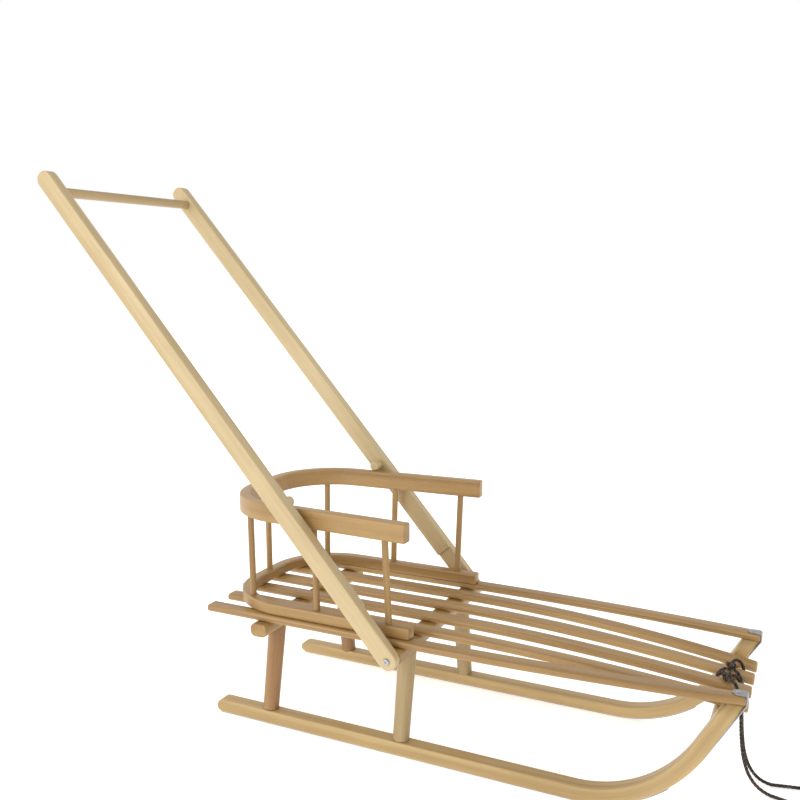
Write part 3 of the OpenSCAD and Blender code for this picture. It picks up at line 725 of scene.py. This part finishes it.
RAIL_REAR, RAIL_FRONT, RAIL_R = 327.0, 19.0, 112.0
LOW_HALF, TOP_HALF, TOP_TAPER = 144.0, 158.0, 3.0   # half widths in front, and degrees of taper
SPINDLE_X, SPINDLE_D = (RAIL_FRONT - 37, RAIL_FRONT - 160), 10
top_box, low_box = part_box("top_rail"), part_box("bottom_rail")
TOP_Z, TOP_LOW = top_box[1].z / MM, top_box[0].z / MM
LOW_Z = low_box[1].z / MM
hoops = {}
for node, half, taper, thick, z0, z1, r in (("bottom_rail", LOW_HALF, 0.0, 20.0, SEAT, LOW_Z, 3.0),
                                            ("top_rail", TOP_HALF, TOP_TAPER, 18.0, TOP_LOW, TOP_Z, 3.0)):
    place, total, between = hoop(half, taper, thick, RAIL_REAR, RAIL_FRONT, RAIL_R)
    hoops[node] = (half, taper, thick)
    blank(node.replace("rail", "hoop"), ease(0, total, between, thick, z1 - z0, r, 2.2),
          lambda s, a, b, place=place, z=(z0 + z1) / 2: (*place(s, a), z + b), BEECH, node)
    print(node, "is bent from a stick", round(total), "mm long")


# %% spindles
def rail_spot(i, half, taper, thick):
    t = math.tan(math.radians(taper))
    cx = RAIL_R - RAIL_REAR
    if i < 2:
        return SPINDLE_X[i], half - (RAIL_FRONT - SPINDLE_X[i]) * t - thick / 2
    if i == 3:
        return thick / 2 - RAIL_REAR, 0.0
    cy = half - (RAIL_FRONT - cx) * t - RAIL_R / math.cos(math.radians(taper))
    r = RAIL_R - thick / 2
    a = math.radians(58)
    return cx - r * math.cos(a), cy + r * math.sin(a)


for i, word in enumerate(("front", "mid", "corner", "back")):
    for side, hand in ((-1, "_right"), (1, "_left")) if i < 3 else ((1, ""),):
        x0, y0 = rail_spot(i, *hoops["bottom_rail"])
        x1, y1 = rail_spot(i, *hoops["top_rail"])
        dowel(f"stick_{word}{hand}", (x0, side * y0, LOW_Z - 2), (x1, side * y1, TOP_LOW + 2),
              SPINDLE_D, SPINDLE_D, BEECH, f"spindle_{word}{hand}", soft=0.4)
print("spindles stand", round(TOP_LOW - LOW_Z), "mm between the hoops")

# %% [markdown]
# ## Push handle
# Two long birch bars turn on bolts in the ends of the middle crossbar.  Short pegs on their inner
# faces drop onto the arm rest and hold the handle at its pushing angle; tipped forward over the
# seat, the handle lies out of the way.  A round grip joins the upper ends.  The bars ride the
# handle's body, so they turn with it, and their foot has a shallow lap that clears the crossbar.

# %% handle bars
BAR_H, BAR_T, BAR_LEN, LAP_LEN, LAP = 29.0, 19.5, 936.0, 82.0, 4.0
INNER = 158.5
OUTER = INNER + BAR_T
PEG_AT, PEG_D, GRIP_D = 277.0, 16.0, 16.0
REST = math.asin((TOP_Z + 0.3 + PEG_D / 2 - BAR_MID) / PEG_AT)


def bar_place(side):
    """s runs up the bar from its bolt, a is the distance out from the sledge's middle."""
    return lambda s, a, b: (-s * math.cos(REST) - b * math.sin(REST), side * a,
                            BAR_MID + s * math.sin(REST) - b * math.cos(REST))


def bar_rings():
    """(s, inner face, height) with round ends, and a shallow lap at the foot."""
    rows = []
    for a in (6, 18, 32, 48, 66, 90):
        k = math.sin(math.radians(a))
        rows.append((-BAR_H / 2 * math.cos(math.radians(a)), INNER + LAP, BAR_H * k))
    rows += [(40.0, INNER + LAP, BAR_H), (LAP_LEN - 0.4, INNER + LAP, BAR_H),
             (LAP_LEN, INNER + LAP - 0.4, BAR_H), (LAP_LEN + 0.1, INNER + 0.5, BAR_H),
             (LAP_LEN + 0.6, INNER, BAR_H)]
    rows += [(s, INNER, BAR_H) for s in (200.0, 350.0, 500.0, 650.0, 800.0)]
    for a in (90, 66, 48, 32, 18, 6):
        k = math.sin(math.radians(a))
        rows.append((BAR_LEN + BAR_H / 2 * math.cos(math.radians(a)), INNER, BAR_H * k))
    return rows


# %% bars, pegs and grip
for side, word in ((-1, "right"), (1, "left")):
    place = bar_place(side)
    rings, grains, edges = [], [], []
    for s, inner, h in bar_rings():
        soft = 1.2 if h < BAR_H * 0.5 else 0.0
        section = rounded(OUTER - inner - 2 * soft, max(h, 1.5), min(2.2, h / 2))
        centre = (OUTER + inner) / 2
        rings.append([place(s, centre + a, b) for a, b, _ in section])
        grains.append([(s, a, b) for a, b, _ in section])
        edges.append([e for _, _, e in section])
    skin(f"{word}_bar", rings, grains, edges, BIRCH, "handle", [f"{word}_handle_bar"])
    arm_y = TOP_HALF - (RAIL_FRONT + PEG_AT * math.cos(REST)) * math.tan(math.radians(TOP_TAPER))
    dowel(f"{word}_peg", place(PEG_AT, arm_y - 8, 0), place(PEG_AT, INNER + 5, 0), PEG_D, PEG_D,
          BIRCH, f"{word}_rest_peg", body="handle", soft=1.2)
grip_at = BAR_LEN - 26
dowel("grip", bar_place(1)(grip_at, -INNER - 5, 0), bar_place(1)(grip_at, INNER + 5, 0), GRIP_D,
      GRIP_D, DOWEL, "handle_grip", body="handle")
print("the handle leans at", round(math.degrees(REST), 1), "degrees")

# %% [markdown]
# ## Bolts, screws and nails
# The handle turns on plated bolts with a hexagon socket.  Cross-head screws hold the steel strips
# and the lower hoop.  Lost-head nails hold the slats and end flush with them.  A head is turned on
# a lathe, so it is made as rings round an axis, and a socket is a ring that isn't round.

# %% turned metal heads
def hexagon(a):
    return math.cos(math.pi / 6) / math.cos((a % (math.pi / 3)) - math.pi / 6)


def cross(a):
    f = ((a + math.pi / 4) % (math.pi / 2)) - math.pi / 4
    return min(1.0 / math.cos(f), 0.32 / max(abs(math.sin(f)), 1e-6))


def head(centre, out, profile, socket, count=48):
    """Rings of a turned head; profile rows are (radius, height, True inside the socket)."""
    out = Vector(out).normalized()
    side = out.cross(Vector((1, 0, 0))).normalized()
    up = out.cross(side)
    return [[Vector(centre) + out * h
             + r * (socket(2 * math.pi * k / count) if inside else 1.0)
             * (math.cos(2 * math.pi * k / count) * side + math.sin(2 * math.pi * k / count) * up)
             for k in range(count)] for r, h, inside in profile]


# %% heads of one kind
def heads(name, spots, profile, socket, nodes, body="sledge"):
    """All heads of one kind as one piece, because they are one CAD node."""
    made = []
    for n, (centre, out) in enumerate(spots):
        rings = head(centre, out, profile, socket)
        grains = [[tuple(p) for p in ring] for ring in rings]
        edges = [[0.0] * len(ring) for ring in rings]
        made.append(skin(f"{name}_{n}", rings, grains, edges, ZINC, body, nodes))
    with bpy.context.temp_override(active_object=made[0], selected_editable_objects=made,
                                   selected_objects=made):
        bpy.ops.object.join()
    made[0].name = name
    print(name, len(spots))


# %% bolts
BOLT = [(0.05, 1.2, True), (1.9, 1.2, True), (2.0, 1.4, True), (2.05, 2.7, True),
        (2.3, 2.95, False), (3.4, 3.0, False), (4.1, 2.75, False), (4.6, 2.2, False),
        (5.0, 1.0, False), (5.0, 0.1, False), (4.9, 0.0, False), (3.0, 0.0, False), (3.0, -24, False)]
for side, word in ((-1, "right"), (1, "left")):
    heads(f"{word}_bolt", [((0, side * (OUTER + 0.3), BAR_MID), (0, side, 0))], BOLT, hexagon,
          [f"{word}_pivot_bolt"])

# %% screws
SCREW = [(0.05, -0.9, True), (1.5, -0.8, True), (1.7, 0.75, True), (1.95, 1.0, False),
         (2.4, 0.9, False), (2.85, 0.45, False), (3.0, 0.1, False), (2.9, -0.1, False),
         (1.5, -1.2, False), (1.5, -6, False)]
plate_y = lean_y(SEAT)
sole_x = (20 - RUN_REAR, -120.0, 90.0, 240.0)
under = [((x, side * RUN_Y, 0.2), (0, 0, -1)) for x in sole_x for side in (-1, 1)]
SUNK = [(r, h - 1.0, inside) for r, h, inside in SCREW]
heads("sole_screws", under, SUNK, cross, ["shoe_screws"])
heads("plate_screws", [((TIP - 11, side * plate_y, SEAT + SHOE_T), (0, 0, 1)) for side in (-1, 1)],
      SCREW, cross, ["shoe_screws"])
RAIL_MID = LOW_HALF - 10
spots = [(x, side * y) for side in (-1, 1)
         for x, y in ((-60, RAIL_MID), (-190, RAIL_MID), (10 - RAIL_REAR, PITCH / 2))]
heads("hoop_screws", [((x, y, SEAT - SLAT_T), (0, 0, -1)) for x, y in spots], SCREW, cross,
      ["rail_screws"])

# %% nails
NAIL = [(0.05, 0.05, False), (1.1, 0.05, False), (1.25, -0.1, False), (1.25, -6, False)]
nail_spots = [(x, k) for x in (5 + REAR_X, 5.0) for k in (-2.5, -1.5, -0.5, 0.5, 1.5, 2.5)] \
    + [(FRONT_BAR_X, k) for k in (-1.5, -0.5, 0.5, 1.5)]
heads("nails", [((x, slat_y(k, x), slat_z(k, x)), (0, 0, 1)) for x, k in nail_spots], NAIL,
      hexagon, ["slat_nails"])

# %% [markdown]
# ## Floor and light
# The floor is a plain pale sheet that glows a little, so it runs into the bright room without a
# seam.  The room is white at the horizon and dimmer overhead, which keeps the upper faces a
# little darker than the sides.  Seen from the camera, a large soft box stands in front on the
# left and a weaker one further back on the left, and they show the roundness of the sticks.  A
# sun lamp would draw hard shadows instead.

# %% floor
floor_mesh = bpy.data.meshes.new("floor")
floor_mesh.from_pydata([(-30, -30, 0), (30, -30, 0), (30, 30, 0), (-30, 30, 0)], [], [(0, 1, 2, 3)])
floor = bpy.data.objects.new("floor", floor_mesh)
bpy.context.scene.collection.objects.link(floor)
floor.location.z = -0.0006
floor_material = bpy.data.materials.new("floor_paper")
floor_material.use_nodes = True
paper = floor_material.node_tree.nodes["Principled BSDF"]
paper.inputs["Base Color"].default_value = (0.88, 0.88, 0.88, 1)
paper.inputs["Roughness"].default_value = 0.9
paper.inputs["Emission Color"].default_value = (1, 1, 1, 1)
paper.inputs["Emission Strength"].default_value = 0.55
floor_mesh.materials.append(floor_material)
print("the floor lies", -floor.location.z / MM, "mm below the sledge")

# %% lights
world = bpy.data.worlds.new("room")
bpy.context.scene.world = world
world.use_nodes = True
sky = world.node_tree
direction = node_of(sky, "ShaderNodeTexCoord", (-900, 0)).outputs["Generated"]
split = node_of(sky, "ShaderNodeSeparateXYZ", (-700, 0))
link(sky, direction, split.inputs["Vector"])
walls = ramp(sky, split.outputs["Z"], ((0.30, (1.0, 1.0, 1.0)), (0.70, (0.76, 0.73, 0.67))),
             (-500, 0))
link(sky, walls, sky.nodes["Background"].inputs["Color"])
sky.nodes["Background"].inputs["Strength"].default_value = 1.0


def soft_box(name, at, aim, size, power):
    data = bpy.data.lights.new(name, "AREA")
    data.shape, data.size, data.energy = "DISK", size, power
    lamp = bpy.data.objects.new(name, data)
    lamp.location = at
    lamp.rotation_euler = (Vector(aim) - Vector(at)).to_track_quat("-Z", "Y").to_euler()
    bpy.context.scene.collection.objects.link(lamp)


soft_box("key", (-1.3, -3.0, 1.5), (0.0, 0.0, 0.35), 1.8, 34)
soft_box("rim", (-2.6, 0.4, 2.0), (0.0, 0.0, 0.4), 1.6, 12)
bpy.context.scene.view_settings.view_transform = "Standard"
